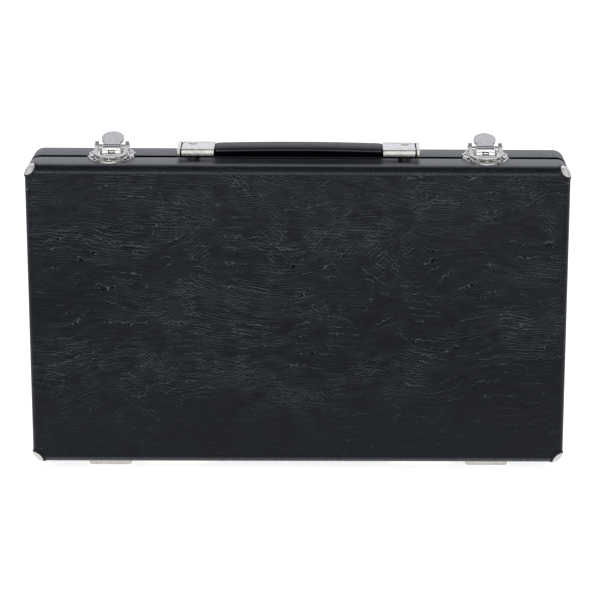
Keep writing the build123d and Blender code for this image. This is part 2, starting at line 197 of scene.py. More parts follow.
leatherLook = {
    "dark": (0.002, 0.0034, 0.007),
    "mid": (0.0048, 0.008, 0.0146),
    # painted highlight colour of the crease lips
    "lipHighlight": (0.078, 0.092, 0.108),
    # painted shade colour, for the seam's shadow and the crease folds
    "seam": (0.001, 0.001, 0.0014),
    "seamHalf": (2.805 * mm, 3.3 * mm),  # half the width of the painted shadow along the seam, and with its fade
    "seamForward": 1.5 * mm,  # how far the painted shadow lies before the seam
    "drift": (15, 0.02),  # scale, and how far it moves the creases
    "overRoll": (4.5 * mm, 3 * mm, 0.25),  # from and to, inside the edge, and what is left of the creases
    "moreAbove": (50 * mm, 4 * mm, 0.45),  # from and to, under the top, and how much is added
    "lessBelow": (10 * mm, 60 * mm, 0.25),  # from and to, over the bottom, and what is left at the bottom
    "patches": (26, 0.42, 0.6),  # scale and limits of where creases show
    "patchPlace": ((0.6, 1, 1.3), (0.42, 0.2, 0.13)),  # stretch and shift
    "fades": (95, 0.38, 0.58),
    "crossed": (19, 0.54, 0.62),
    "crossedPlaces": ((0.9, 0.3, 0.5), (0.2, 0.8, 0.9)),  # shift of the slanted and the countered ones
    "steady": (0.65, 0.35, 0.6),  # share that follows the patches, share that doesn't, strength
    "creases": (  # degrees, spacing, waver, width as a share of the spacing, where they show
        (0, 1.2 * mm, 6, 0.34, "steady"),
        (6, 1.9 * mm, 5, 0.26, "loose"),
        (-4, 4.6 * mm, 3.5, 0.12, "everywhere"),
        (42, 1.9 * mm, 3, 0.22, "slanted"),
        (-38, 1.9 * mm, 3, 0.22, "countered"),
    ),
    "underRollHighlight": (4.9 * mm, 3.7 * mm, 0.6 * mm, 0.6),  # painted highlight line under the top: from, to, softness, share
    "overBaseHighlight": (0.5 * mm, 2.9 * mm, 0.7 * mm, 0.9),  # and a painted reflection of the floor over the bottom
    "hairs": (900, (1, 1, 0.2), 0.55),  # scale and stretch of what breaks the painted highlight lines up, least share
    "speckle": (1100, 0.7),  # scale and strength
    "cloud": (30, -0.1, 0.4),  # scale and its two tones
    "grain": (1300, 0.3),  # scale and height
    "relief": 0.6,
    "bump": (0.45, 0.4 * mm),
    "roughness": (0.32, 0.42),
    "specular": 0.2,
    "lipShine": 0.3,
    "foldShine": -0.28,
    "handled": (1.2 * mm, 0.2 * mm, 0.25),  # the top is polished by hands
}
creaseLook = {
    "aslant": 0.6,  # how much a crease climbs over the depth of the case
    "longer": (0.3, 1, 1),  # the waver is slower along the creases
    "waver": 80,
    "crumple": (420, 0.9),  # scale and amount
    "gaps": (330, 0.36, 0.58),  # scale and limits
    "lipFrom": -0.2,  # these two in widths from the ridge
    "foldTo": -0.3,
}


def creaseSides(tree, place, turn, spacing, wander, width):
    # wavy creases that run one way; each has a lip with a painted highlight on one side and a fold with
    # painted shade on the other
    look = creaseLook
    mapping = addNode(tree, "ShaderNodeMapping", vector_type="TEXTURE")
    mapping.inputs["Rotation"].default_value = (0, math.radians(turn), 0)
    tree.links.new(place, mapping.inputs["Vector"])
    turned = mapping.outputs["Vector"]
    axes = splitAxes(tree, turned)
    across = doMath(tree, "MULTIPLY_ADD", axes["Y"], look["aslant"], axes["Z"])
    longer = addNode(tree, "ShaderNodeVectorMath", operation="MULTIPLY")
    tree.links.new(turned, longer.inputs[0])
    longer.inputs[1].default_value = look["longer"]
    waver = multiply(tree, noiseValue(tree, longer.outputs[0], look["waver"], 1.5), wander)
    phase = doMath(tree, "MULTIPLY_ADD", across, 1 / spacing, waver)
    scale, amount = look["crumple"]
    phase = doMath(tree, "MULTIPLY_ADD", noiseValue(tree, turned, scale, 1.0), amount, phase)
    side = doMath(tree, "SUBTRACT", doMath(tree, "FRACT", phase), 0.5)
    scale, low, high = look["gaps"]
    gaps = ramp(tree, noiseValue(tree, longer.outputs[0], scale, 1.5), low, high)
    lipFrom, foldTo = width * look["lipFrom"], width * look["foldTo"]
    litLip = multiply(tree, ramp(tree, side, lipFrom, 0.0), ramp(tree, side, 0.0, width, 1.0, 0.0))
    shadedFold = multiply(tree, ramp(tree, side, -width, foldTo), ramp(tree, side, lipFrom, 0.0, 1.0, 0.0))
    return multiply(tree, litLip, gaps), multiply(tree, shadedFold, gaps)


def patchMask(tree, place, scale, low, high):
    return ramp(tree, noiseValue(tree, place, scale, 2.0), low, high)


def creaseShares(tree, flat, height):
    # where each set of creases shows, more of them near the top and few at the bottom
    look = leatherLook
    start, end, most = look["moreAbove"]
    upper = ramp(tree, height, caseTop - start, caseTop - end, 0.0, most)
    start, end, least = look["lessBelow"]
    lower = ramp(tree, height, caseBottom + start, caseBottom + end, least, 1.0)
    patches = patchMask(tree, objectPlace(tree, *look["patchPlace"]), *look["patches"])
    loose = multiply(tree, doMath(tree, "ADD", patches, upper, clamp=True), lower)
    fade = multiply(tree, patchMask(tree, flat, *look["fades"]), lower)
    slanted, countered = (patchMask(tree, objectPlace(tree, shift=shift), *look["crossed"])
                          for shift in look["crossedPlaces"])
    following, always, strength = look["steady"]
    steady = multiply(tree, doMath(tree, "MULTIPLY_ADD", loose, following, always), lower)
    return {
        "steady": multiply(tree, steady, strength),
        "loose": multiply(tree, loose, fade),
        "everywhere": fade,
        "slanted": multiply(tree, slanted, fade),
        "countered": multiply(tree, countered, fade),
    }


def leatherCreases(tree, flat, height):
    # a slow drift of the hide turns the creases; over the rolled edges it is stretched smooth
    look = leatherLook
    scale, amount = look["drift"]
    warp = addNode(tree, "ShaderNodeVectorMath", operation="MULTIPLY_ADD")
    tree.links.new(noiseValue(tree, flat, scale, 1.0, output="Color"), warp.inputs[0])
    warp.inputs[1].default_value = (amount, amount, amount)
    tree.links.new(flat, warp.inputs[2])
    start, end, least = look["overRoll"]
    fromMiddle = awayFrom(tree, height, caseMiddle)
    stretched = ramp(tree, fromMiddle, halfHeight - start, halfHeight - end, 1.0, least)
    shares = creaseShares(tree, flat, height)
    litLips, shadedFolds = [], []
    for turn, spacing, wander, width, where in look["creases"]:
        litLip, shadedFold = creaseSides(tree, warp.outputs[0], turn, spacing, wander, width)
        share = multiply(tree, shares[where], stretched)
        litLips.append(multiply(tree, litLip, share))
        shadedFolds.append(multiply(tree, shadedFold, share))
    return greatest(tree, litLips), greatest(tree, shadedFolds)


def makeLeather():
    look = leatherLook
    material, tree, shader = startMaterial("leather")
    flat = objectPlace(tree)
    axes = splitAxes(tree, flat)
    height = axes["Z"]
    # a band of painted shadow along the seam's gap: dark, and without shine
    fromSeam = awayFrom(tree, axes["Y"], seamY - look["seamForward"])
    seamShadow = ramp(tree, fromSeam, *look["seamHalf"], 1.0, 0.0)
    litLips, shadedFolds = leatherCreases(tree, flat, height)
    # painted highlight lines along the rounded edges, joined to the crease lips
    start, end, soft, strength = look["underRollHighlight"]
    underRollHighlight = bandOf(tree, height, caseTop - start, caseTop - end, soft, strength)
    start, end, soft, strength = look["overBaseHighlight"]
    overBaseHighlight = bandOf(tree, height, caseBottom + start, caseBottom + end, soft, strength)
    scale, stretch, least = look["hairs"]
    hairs = ramp(tree, noiseValue(tree, objectPlace(tree, stretch), scale, 2.0), 0.35, 0.6, least, 1.0)
    lines = multiply(tree, doMath(tree, "MAXIMUM", underRollHighlight, overBaseHighlight), hairs)
    litLips = doMath(tree, "MAXIMUM", litLips, lines)
    # colour
    scale, strength = look["speckle"]
    speckle = noiseValue(tree, flat, scale, 2.0)
    scale, lowTone, highTone = look["cloud"]
    cloud = ramp(tree, noiseValue(tree, flat, scale, 4.0), *noiseRange, lowTone, highTone)
    tone = doMath(tree, "MULTIPLY_ADD", speckle, strength, cloud)
    base = blendColours(tree, tone, look["dark"], look["mid"])
    # painted shade in the folds of the creases, a painted highlight on their lips
    base = blendColours(tree, shadedFolds, base, look["seam"])
    hide = blendColours(tree, litLips, base, look["lipHighlight"])
    tree.links.new(blendColours(tree, seamShadow, hide, look["seam"]), shader.inputs["Base Color"])
    # gloss
    tree.links.new(ramp(tree, speckle, *noiseRange, *look["roughness"]), shader.inputs["Roughness"])
    start, end, strength = look["handled"]
    handled = ramp(tree, height, caseTop - start, caseTop - end, 0.0, strength)
    shine = doMath(tree, "MULTIPLY_ADD", litLips, look["lipShine"], look["specular"])
    shine = doMath(tree, "ADD", shine, handled)
    shine = doMath(tree, "MULTIPLY_ADD", shadedFolds, look["foldShine"], shine, clamp=True)
    # no shine inside the seam's painted shadow
    shown = doMath(tree, "SUBTRACT", 1.0, seamShadow)
    tree.links.new(multiply(tree, shine, shown), shader.inputs["Specular IOR Level"])
    # relief
    scale, strength = look["grain"]
    grain = addNode(tree, "ShaderNodeTexVoronoi", feature="F1")
    grain.inputs["Scale"].default_value = scale
    tree.links.new(flat, grain.inputs["Vector"])
    relief = multiply(tree, doMath(tree, "SUBTRACT", litLips, shadedFolds), look["relief"])
    relief = doMath(tree, "MULTIPLY_ADD", grain.outputs["Distance"], strength, relief)
    bumpFrom(tree, shader, relief, *look["bump"])
    return material


nickelLook = {
    "plate": (0.72, 0.70, 0.67),
    "tab": (0.4, 0.4, 0.405),
    "bail": (0.55, 0.54, 0.52),
    "dull": (0.5, 0.47, 0.43),
    "dullShare": 0.35,
    "metal": 0.93,
    "roughness": 0.14,
    "roughnessMore": 0.14,  # in the roughest streaks
    "tabRoughness": 0.3,
    "cornerRoughness": 0.3,
    "clouds": (420, 0.35, 0.75),  # scale and limits
    "streaks": (900, (1, 12, 1)),  # scale and stretch
    "scratches": (0.04, 0.1 * mm),
    "cornerReach": (5.85 * mm, 6.1 * mm, 6.45 * mm),  # clean metal, painted shade, leather, out from the corner
    "coveredSpecular": 0.3,
}


def makeNickel(name, colour, roughness):
    look = nickelLook
    material, tree, shader = startMaterial(name)
    shader.inputs["Metallic"].default_value = look["metal"]
    scale, low, high = look["clouds"]
    cloud = ramp(tree, noiseValue(tree, objectPlace(tree), scale, 4.0, 0.6), low, high)
    worn = tuple(value * dull for value, dull in zip(colour, look["dull"]))
    tone = blendColours(tree, multiply(tree, cloud, look["dullShare"]), colour, worn)
    tree.links.new(tone, shader.inputs["Base Color"])
    scale, stretch = look["streaks"]
    streaks = noiseValue(tree, objectPlace(tree, stretch), scale, 3.0, 0.6)
    rough = ramp(tree, streaks, *noiseRange, roughness, roughness + look["roughnessMore"])
    tree.links.new(rough, shader.inputs["Roughness"])
    bumpFrom(tree, shader, streaks, *look["scratches"])
    return material


# painted shade: a near-black finish put in slots, grooves and narrow gaps of the metal, where shade falls
paintedShadeLook = {
    "dark": (0.002, 0.0018, 0.0016),
    "light": (0.012, 0.01, 0.008),
    "patches": 800,
    "roughness": (0.65, 0.9),
    "specular": 0.04,
    "bump": (0.2, 0.1 * mm),
}


def makePaintedShade():
    look = paintedShadeLook
    material, tree, shader = startMaterial("paintedShade")
    patches = noiseValue(tree, objectPlace(tree), look["patches"])
    tree.links.new(blendColours(tree, patches, look["dark"], look["light"]), shader.inputs["Base Color"])
    tree.links.new(ramp(tree, patches, *noiseRange, *look["roughness"]), shader.inputs["Roughness"])
    shader.inputs["Specular IOR Level"].default_value = look["specular"]
    bumpFrom(tree, shader, patches, *look["bump"])
    return material


def makeCornerNickel():
    # the cap on a corner of the lid gets a ring of painted shade along its edge, where the leather starts
    look = nickelLook
    clean, ringShade, covered = look["cornerReach"]
    material = makeNickel("cornerNickel", look["plate"], look["cornerRoughness"])
    tree = material.node_tree
    shader = tree.nodes["Principled BSDF"]
    axes = splitAxes(tree, objectPlace(tree))
    offsets = addNode(tree, "ShaderNodeCombineXYZ")
    fromSide = doMath(tree, "SUBTRACT", awayFrom(tree, axes["X"], 0), lidHigh.x)
    fromFront = doMath(tree, "SUBTRACT", axes["Y"], lidLow.y)
    fromEnd = doMath(tree, "SUBTRACT", awayFrom(tree, axes["Z"], caseMiddle), halfHeight)
    for index, value in enumerate((fromSide, fromFront, fromEnd)):
        tree.links.new(value, offsets.inputs[index])
    reach = addNode(tree, "ShaderNodeVectorMath", operation="LENGTH")
    tree.links.new(offsets.outputs[0], reach.inputs[0])
    # a dark ring of painted shade round the cap's edge, then the leather colour beyond it
    edgeShade = ramp(tree, reach.outputs["Value"], clean, ringShade)
    hide = ramp(tree, reach.outputs["Value"], ringShade, covered)
    metalTone = shader.inputs["Base Color"].links[0].from_socket
    edgeTone = blendColours(tree, hide, paintedShadeLook["dark"], leatherLook["mid"])
    tree.links.new(blendColours(tree, edgeShade, metalTone, edgeTone), shader.inputs["Base Color"])
    tree.links.new(ramp(tree, edgeShade, 0.0, 1.0, look["metal"], 0.0), shader.inputs["Metallic"])
    specular = ramp(tree, hide, 0.0, 1.0, paintedShadeLook["specular"], look["coveredSpecular"])
    tree.links.new(specular, shader.inputs["Specular IOR Level"])
    return material


steelLook = {
    "dark": (0.5, 0.5, 0.5),
    "light": (0.66, 0.65, 0.63),
    "roughness": (0.24, 0.42),
    "lines": (1500, (3, 1, 1)),  # scale and stretch
    "bump": (0.05, 0.1 * mm),
}


def makeSteel():
    look = steelLook
    material, tree, shader = startMaterial("steel")
    shader.inputs["Metallic"].default_value = 1.0
    scale, stretch = look["lines"]
    lines = noiseValue(tree, objectPlace(tree, stretch), scale, 3.0, 0.6)
    tree.links.new(blendColours(tree, lines, look["dark"], look["light"]), shader.inputs["Base Color"])
    tree.links.new(ramp(tree, lines, *noiseRange, *look["roughness"]), shader.inputs["Roughness"])
    bumpFrom(tree, shader, lines, *look["bump"])
    return material


gripLook = {
    "colour": (0.0012, 0.0012, 0.0022),
    "worn": (0.003, 0.003, 0.005),
    # painted highlight colour along the lower edge of the front
    "edge": (0.05, 0.05, 0.06),
    "lowerEdgeHighlight": (0.7 * mm, 1.2 * mm, 0.15 * mm),  # painted highlight band above the underside: from, to, softness
    "dulled": (3 * mm, 17 * mm, 0.06),  # behind the front: from, to, what is left of the shine
    "frontEdge": (0.8 * mm, 1.3 * mm),
    "facing": (0.35, 0.94, 0.05),  # upward share of the normal where the worn edge shines
    "roughness": (0.2, 0.3),
    "specular": 0.022,
    "edgeShine": 1.0,
    "grain": (700, (0.5, 1, 1)),  # scale and stretch
    "wear": (60, 0.4, 0.75),  # scale and limits
    "bump": (0.1, 0.2 * mm),
}


def makeGrip():
    # the moulding is dull along its front, with a bright worn edge above and a band of painted highlight
    # along its lower edge
    look = gripLook
    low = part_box("handle_grip")[0]
    material, tree, shader = startMaterial("grip")
    place = objectPlace(tree)
    axes = splitAxes(tree, place)
    scale, stretch = look["grain"]
    grain = noiseValue(tree, objectPlace(tree, stretch), scale)
    scale, start, end = look["wear"]
    worn = ramp(tree, noiseValue(tree, place, scale), start, end)
    # a band of painted highlight along the lower edge
    start, end, soft = look["lowerEdgeHighlight"]
    lower = bandOf(tree, axes["Z"], low.z + start, low.z + end, soft)
    body = blendColours(tree, worn, look["colour"], look["worn"])
    tree.links.new(blendColours(tree, lower, body, look["edge"]), shader.inputs["Base Color"])
    start, end, least = look["dulled"]
    dulled = ramp(tree, axes["Y"], low.y + start, low.y + end, least, 1.0)
    facing = splitAxes(tree, addNode(tree, "ShaderNodeTexCoord").outputs["Normal"])
    start, end = look["frontEdge"]
    edge = ramp(tree, axes["Y"], low.y + start, low.y + end, look["edgeShine"], 0.0)
    edge = multiply(tree, edge, bandOf(tree, facing["Z"], *look["facing"]))
    shine = doMath(tree, "MULTIPLY_ADD", dulled, look["specular"], edge)
    tree.links.new(shine, shader.inputs["Specular IOR Level"])
    tree.links.new(ramp(tree, grain, *noiseRange, *look["roughness"]), shader.inputs["Roughness"])
    bumpFrom(tree, shader, grain, *look["bump"])
    return material


plushLook = {
    "deep": (0.006, 0.0065, 0.008),
    "light": (0.02, 0.021, 0.025),
    "pile": 2600,
    "brushed": (35, 0.35, 0.65),  # scale and limits
    "roughness": 0.95,
    "specular": 0.15,
    "sheen": 0.35,
    "sheenRoughness": 0.45,
    "bump": (0.6, 0.4 * mm),
}


def makePlush():
    look = plushLook
    material, tree, shader = startMaterial("plush")
    place = objectPlace(tree)
    scale, start, end = look["brushed"]
    brushed = ramp(tree, noiseValue(tree, place, scale, 4.0, 0.6, 0.8), start, end)
    pile = noiseValue(tree, place, look["pile"], 2.0)
    mixed = doMath(tree, "MULTIPLY_ADD", pile, 0.5, multiply(tree, brushed, 0.5))
    tree.links.new(blendColours(tree, mixed, look["deep"], look["light"]), shader.inputs["Base Color"])
    shader.inputs["Roughness"].default_value = look["roughness"]
    shader.inputs["Sheen Weight"].default_value = look["sheen"]
    shader.inputs["Sheen Roughness"].default_value = look["sheenRoughness"]
    shader.inputs["Specular IOR Level"].default_value = look["specular"]
    bumpFrom(tree, shader, mixed, *look["bump"])
    return material


finishes = {
    "leather": makeLeather(),
    "nickel": makeNickel("nickel", nickelLook["plate"], nickelLook["roughness"]),
    "tabNickel": makeNickel("tabNickel", nickelLook["tab"], nickelLook["tabRoughness"]),
    "bailNickel": makeNickel("bailNickel", nickelLook["bail"], nickelLook["roughness"]),
    "paintedShade": makePaintedShade(),
    "cornerNickel": makeCornerNickel(),
    "steel": makeSteel(),
    "grip": makeGrip(),
    "plush": makePlush(),
}
print("materials made")


# Pieces
nearby = 0.01 * mm  # points closer than this are one point


def addPiece(name, bm, body, materials, nodes=(), sharp=35):
    mesh = bpy.data.meshes.new(name)
    bm.to_mesh(mesh)
    bm.free()
    for material in materials:
        mesh.materials.append(material)
    mesh.shade_smooth()
    mesh.set_sharp_from_angle(angle=math.radians(sharp))
    piece = bpy.data.objects.new(name, mesh)
    bpy.context.scene.collection.objects.link(piece)
    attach(piece, body)
    if nodes:
        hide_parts(*nodes)
    return piece


def applyModifiers(piece):
    bpy.context.view_layer.update()
    graph = bpy.context.evaluated_depsgraph_get()
    made = bpy.data.meshes.new_from_object(piece.evaluated_get(graph))
    piece.modifiers.clear()
    piece.data = made


def bevelEdges(bm, edges, offset, segments):
    bmesh.ops.bevel(bm, geom=edges, offset=offset, offset_type="OFFSET", affect="EDGES",
                    segments=segments, profile=0.5, material=-1)


def edgesAtY(bm, y):
    return [edge for edge in bm.edges if all(abs(vert.co.y - y) < nearby for vert in edge.verts)]


def extrudeFaces(bm, faces, y):
    made = bmesh.ops.extrude_face_region(bm, geom=faces)
    moved = [item for item in made["geom"] if isinstance(item, bmesh.types.BMVert)]
    bmesh.ops.translate(bm, vec=(0, y, 0), verts=moved)
    return moved


def uprightGrid(bm, low, high, y, columns, rows):
    # a flat sheet that faces along the case's depth
    size = high - low
    bmesh.ops.create_grid(bm, x_segments=columns, y_segments=rows, size=0.5)
    bmesh.ops.scale(bm, vec=(size.x, size.z, 1), verts=bm.verts)
    bmesh.ops.rotate(bm, cent=(0, 0, 0), matrix=Matrix.Rotation(math.radians(90), 3, "X"), verts=bm.verts)
    bmesh.ops.translate(bm, vec=(0, y, (low.z + high.z) / 2), verts=bm.verts)


def cutAt(bm, axis, place):
    everything = bm.verts[:] + bm.edges[:] + bm.faces[:]
    bmesh.ops.bisect_plane(bm, geom=everything, plane_co=axis * place, plane_no=axis)


def useSecond(faces):
    for face in faces:
        face.material_index = 1


softEdge = {"flat": 1.5, "bevelled": 38, "sharp": 40}  # degrees


def softCopy(name, node, body, material, width, segments):
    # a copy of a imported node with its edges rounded
    bm = bmesh.new()
    bm.from_mesh(frame["nodes"][node].data)
    bmesh.ops.remove_doubles(bm, verts=bm.verts, dist=nearby)
    bmesh.ops.dissolve_limit(bm, angle_limit=math.radians(softEdge["flat"]), verts=bm.verts, edges=bm.edges)
    piece = addPiece(name, bm, body, [material], [node])
    bevel = piece.modifiers.new("edges", "BEVEL")
    bevel.width = width
    bevel.segments = segments
    bevel.limit_method = "ANGLE"
    bevel.angle_limit = math.radians(softEdge["bevelled"])
    applyModifiers(piece)
    piece.data.shade_smooth()
    piece.data.set_sharp_from_angle(angle=math.radians(softEdge["sharp"]))


# Covers of the two halves: leather outside, plush inside
shellLook = {
    "cornerRadius": 6.5 * mm,
    "edgeRoll": 4.0 * mm,
    "rimRoll": 2.0 * mm,
    "wall": 3.5 * mm,
    "lined": 0.9,  # plush from this share of the wall inwards
    "cornerSteps": 8,
    "rollSteps": 8,
    "rimSteps": 4,
}


def makeShell(name, node, body):
    shell = shellLook
    wall = shell["wall"]
    low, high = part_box(node)
    outward = 1 if body == "base" else -1
    outerY = high.y if outward > 0 else low.y
    rimY = low.y if outward > 0 else high.y
    bm = bmesh.new()
    bmesh.ops.create_cube(bm, size=1)
    bmesh.ops.scale(bm, vec=high - low, verts=bm.verts)
    bmesh.ops.translate(bm, vec=(high + low) / 2, verts=bm.verts)
    along = [edge for edge in bm.edges if abs(edge.verts[0].co.y - edge.verts[1].co.y) > mm]
    bevelEdges(bm, along, shell["cornerRadius"], shell["cornerSteps"])
    bevelEdges(bm, edgesAtY(bm, outerY), shell["edgeRoll"], shell["rollSteps"])
    bevelEdges(bm, edgesAtY(bm, rimY), shell["rimRoll"], shell["rimSteps"])
    rim = [face for face in bm.faces if abs(face.calc_center_median().y - rimY) < nearby]
    bmesh.ops.inset_region(bm, faces=rim, thickness=wall - shell["rimRoll"], use_even_offset=True)
    depth = abs(outerY - rimY) - wall
    extrudeFaces(bm, rim, outward * depth)
    bmesh.ops.delete(bm, geom=[face for face in rim if face.is_valid], context="FACES")
    bmesh.ops.recalc_face_normals(bm, faces=bm.faces)
    centre = Vector((0, rimY + outward * depth / 2, caseMiddle))
    lined = wall * shell["lined"]
    for face in bm.faces:
        spot = face.calc_center_median()
        inside = (abs(spot.x) < high.x - lined and abs(spot.z - caseMiddle) < (high.z - low.z) / 2 - lined
                  and (spot.y - rimY) * outward > 0.1 * mm and (outerY - spot.y) * outward > mm)
        if inside and (centre - spot).dot(face.normal) > 0:
            useSecond([face])
    addPiece(name, bm, body, [finishes["leather"], finishes["plush"]], [node])


makeShell("lidCover", "lid_shell", "lid")
makeShell("baseCover", "base_shell", "base")
print("covers made")


# Plush: a floor and a lining that swell in the middle
padShape = {"columns": 36, "rows": 20, "edgeShare": 0.75, "steepness": 8}


def makePad(name, node, body, towards):
    low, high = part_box(node)
    size = high - low
    bm = bmesh.new()
    uprightGrid(bm, low, high, low.y if towards > 0 else high.y, padShape["columns"], padShape["rows"])
    top = extrudeFaces(bm, bm.faces[:], towards * size.y * padShape["edgeShare"])
    for vert in top:
        acrossPad = 1 - (2 * vert.co.x / size.x) ** 2
        alongPad = 1 - (2 * (vert.co.z - (low.z + high.z) / 2) / size.z) ** 2
        swell = min(1, padShape["steepness"] * acrossPad) * min(1, padShape["steepness"] * alongPad)
        vert.co.y += towards * size.y * (1 - padShape["edgeShare"]) * swell
    bmesh.ops.recalc_face_normals(bm, faces=bm.faces)
    piece = addPiece(name, bm, body, [finishes["plush"]], [node])


# Two rows of dividers; each recess takes a cup at the middle of the case and a shank towards its end
recess = {
    "columns": 6,
    "cupWidth": 39.5 * mm,
    "cupLength": 34.0 * mm,
    "shankWidth": 14.0 * mm,
    "margin": 1.0 * mm,
    "round": 0.45 * mm,
    "roundSteps": 3,
    "corner": 0.5,  # radians; flatter edges stay
}


def makeDividers(name, node, up):
    low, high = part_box(node)
    size = high - low
    columns, halfCup, halfShank = recess["columns"], recess["cupWidth"] / 2, recess["shankWidth"] / 2
    cupStart = caseMiddle + up * recess["margin"]
    cupEnd = cupStart + up * recess["cupLength"]
    shankEnd = (high.z if up > 0 else low.z) - up * recess["margin"]
    web = (size.x - columns * recess["cupWidth"]) / (columns + 1)
    pitch = recess["cupWidth"] + web
    bm = bmesh.new()
    uprightGrid(bm, low, high, high.y, 1, 1)
    for column in range(columns):
        for side in (-halfCup, -halfShank, halfShank, halfCup):
            cutAt(bm, Vector((1, 0, 0)), (column - (columns - 1) / 2) * pitch + side)
    for z in (cupStart, cupEnd, shankEnd):
        cutAt(bm, Vector((0, 0, 1)), z)
    holes = []
    for face in bm.faces:
        spot = face.calc_center_median()
        column = round(spot.x / pitch + (columns - 1) / 2)
        fromMiddle = abs(spot.x - (column - (columns - 1) / 2) * pitch)
        inCup = (spot.z - cupStart) * up > 0 and (cupEnd - spot.z) * up > 0
        inShank = (spot.z - cupEnd) * up > 0 and (shankEnd - spot.z) * up > 0
        if (inCup and fromMiddle < halfCup) or (inShank and fromMiddle < halfShank):
            holes.append(face)
    bmesh.ops.delete(bm, geom=holes, context="FACES")
    extrudeFaces(bm, bm.faces[:], -size.y)
    bmesh.ops.recalc_face_normals(bm, faces=bm.faces)
    rimEdges = [edge for edge in edgesAtY(bm, low.y) if edge.calc_face_angle(0) > recess["corner"]]
    bevelEdges(bm, rimEdges, recess["round"], recess["roundSteps"])
    piece = addPiece(name, bm, "base", [finishes["plush"]], [node], sharp=60)


makePad("insertFloor", "insert_floor", "base", -1)
makePad("lidLining", "lid_lining", "lid", 1)
makeDividers("lowerDividers", "lower_dividers", -1)
makeDividers("upperDividers", "upper_dividers", 1)
print("plush made")


# Latch plates: a lobed oval sheet with a raised rim and a ring of stamped slots inside it, the slots painted
# with shade
plateShape = {
    "halfWidth": 12.2 * mm,
    "length": 22.0 * mm,
    "fullness": 2.3,
    "lobeRadius": 2.8 * mm,
    "lobe": Vector((10.1 * mm, 5.0 * mm)),
    "sheet": 0.7 * mm,
    "rim": 0.75 * mm,
    "step": 0.1 * mm,
    "ring": 2.6 * mm,
    "ringWall": 0.12 * mm,
    "slotDepth": 0.06 * mm,
    "slotsFrom": 3.5 * mm,  # from the seam
    "seamGap": 0.2 * mm,
    "steps": 64,
    "slotFaces": 4,
    "bridgeFaces": 2,
}


def plateReach(direction):
    # distance from the middle of the plate to its edge
    shape = plateShape
    fullness = shape["fullness"]
    across, along = abs(direction.x) / shape["halfWidth"], abs(direction.y) / shape["length"]
    oval = (across ** fullness + along ** fullness) ** (-1 / fullness)
    lobe = Vector((math.copysign(shape["lobe"].x, direction.x), math.copysign(shape["lobe"].y, direction.y)))
    along = direction.dot(lobe)
    gap = shape["lobeRadius"] ** 2 - (lobe.length_squared - along ** 2)
    return max(oval, along + math.sqrt(gap)) if gap > 0 else oval


def plateForm(centreX, towards):
    # rings from the edge inwards: the sheet's side, the rim, a step down, the slotted ring, a step up
    shape = plateShape
    sheet, step = shape["sheet"], shape["step"]
    ringFrom = shape["rim"] + step
    ringTo = ringFrom + shape["ring"]
    profile = ((0, 0), (0, sheet), (shape["rim"], sheet), (ringFrom, sheet - step), (ringTo, sheet - step),
               (ringTo + step, sheet))
    last, count = len(profile) - 1, shape["steps"]
    bm = bmesh.new()
    bmesh.ops.create_grid(bm, x_segments=last, y_segments=count, size=0.5)
    grid = {}
    for vert in bm.verts:
        level, index = round((vert.co.x + 0.5) * last), round((vert.co.y + 0.5) * count)
        grid[level, index] = vert
        direction = Vector((math.cos(math.pi * index / count), math.sin(math.pi * index / count)))
        inwards, height = profile[level]
        flat = direction * (plateReach(direction) - inwards)
        vert.co = (centreX + flat.x, seamY + towards * max(flat.y, shape["seamGap"]), caseTop + height)
    ring = []
    for face in bm.faces:
        spot = face.calc_center_median() - Vector((centreX, seamY, caseTop))
        if abs(spot.z - sheet + step) < nearby and abs(spot.y) > shape["slotsFrom"]:
            ring.append((math.atan2(abs(spot.y), spot.x), face))
    ring = [face for angle, face in sorted(ring, key=lambda pair: pair[0])]
    bm.faces.new([grid[0, index] for index in range(count + 1)])
    bm.faces.new([grid[last, index] for index in range(count + 1)])
    there = [grid[level, 0] for level in range(last + 1)]
    back = [grid[level, count] for level in range(last, -1, -1)]
    bm.faces.new(there + back)
    bmesh.ops.recalc_face_normals(bm, faces=bm.faces)
    period = shape["slotFaces"] + shape["bridgeFaces"]
    slots = [face for index, face in enumerate(ring) if index % period < shape["slotFaces"]]
    bmesh.ops.inset_region(bm, faces=slots, thickness=shape["ringWall"], depth=-shape["slotDepth"],
                           use_even_offset=False)
    # the slots are barely sunk and are painted shade
    useSecond(slots)
    return bm


def addBox(bm, low, high, edge=0.0):
    made = bmesh.ops.create_cube(bm, size=1)["verts"]
    bmesh.ops.scale(bm, vec=Vector(high) - Vector(low), verts=made)
    bmesh.ops.translate(bm, vec=(Vector(high) + Vector(low)) / 2, verts=made)
    if edge:
        bevelEdges(bm, list({item for vert in made for item in vert.link_edges}), edge, 3)
        return []
    return list({face for vert in made for face in vert.link_faces})


def addDisc(bm, centre, radius, thickness, edge):
    # a round disc that faces left and right
    place = Matrix.Translation(centre) @ Matrix.Rotation(math.radians(90), 4, "Y")
    made = bmesh.ops.create_cone(bm, cap_ends=True, segments=32, radius1=radius, radius2=radius,
                                 depth=thickness, matrix=place)["verts"]
    around = {item for vert in made for item in vert.link_edges}
    rims = [item for item in around if sum(len(face.verts) > 4 for face in item.link_faces) == 1]
    bevelEdges(bm, rims, edge, 2)


earShape = {
    "sheet": 0.8 * mm,
    "radius": 1.9 * mm,
    "back": 4.6 * mm,
    "front": 0.5 * mm,
    "edge": 0.15 * mm,
    "pinShown": 0.4 * mm,  # how far the pin stands out of the ear
    "sunk": 0.6,  # share of the plate's sheet that the ear stands above
    "shoulder": 0.4,  # share of the radius
}
hookShape = {
    "bendBack": 6.5 * mm,
    "radius": 7.0 * mm,
    "sheet": 0.9 * mm,
    "height": 2.7 * mm,
    "halfAngle": 31.0,
    "steps": 14,
}


def middleOf(node):
    low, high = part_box(node)
    return (low + high) / 2


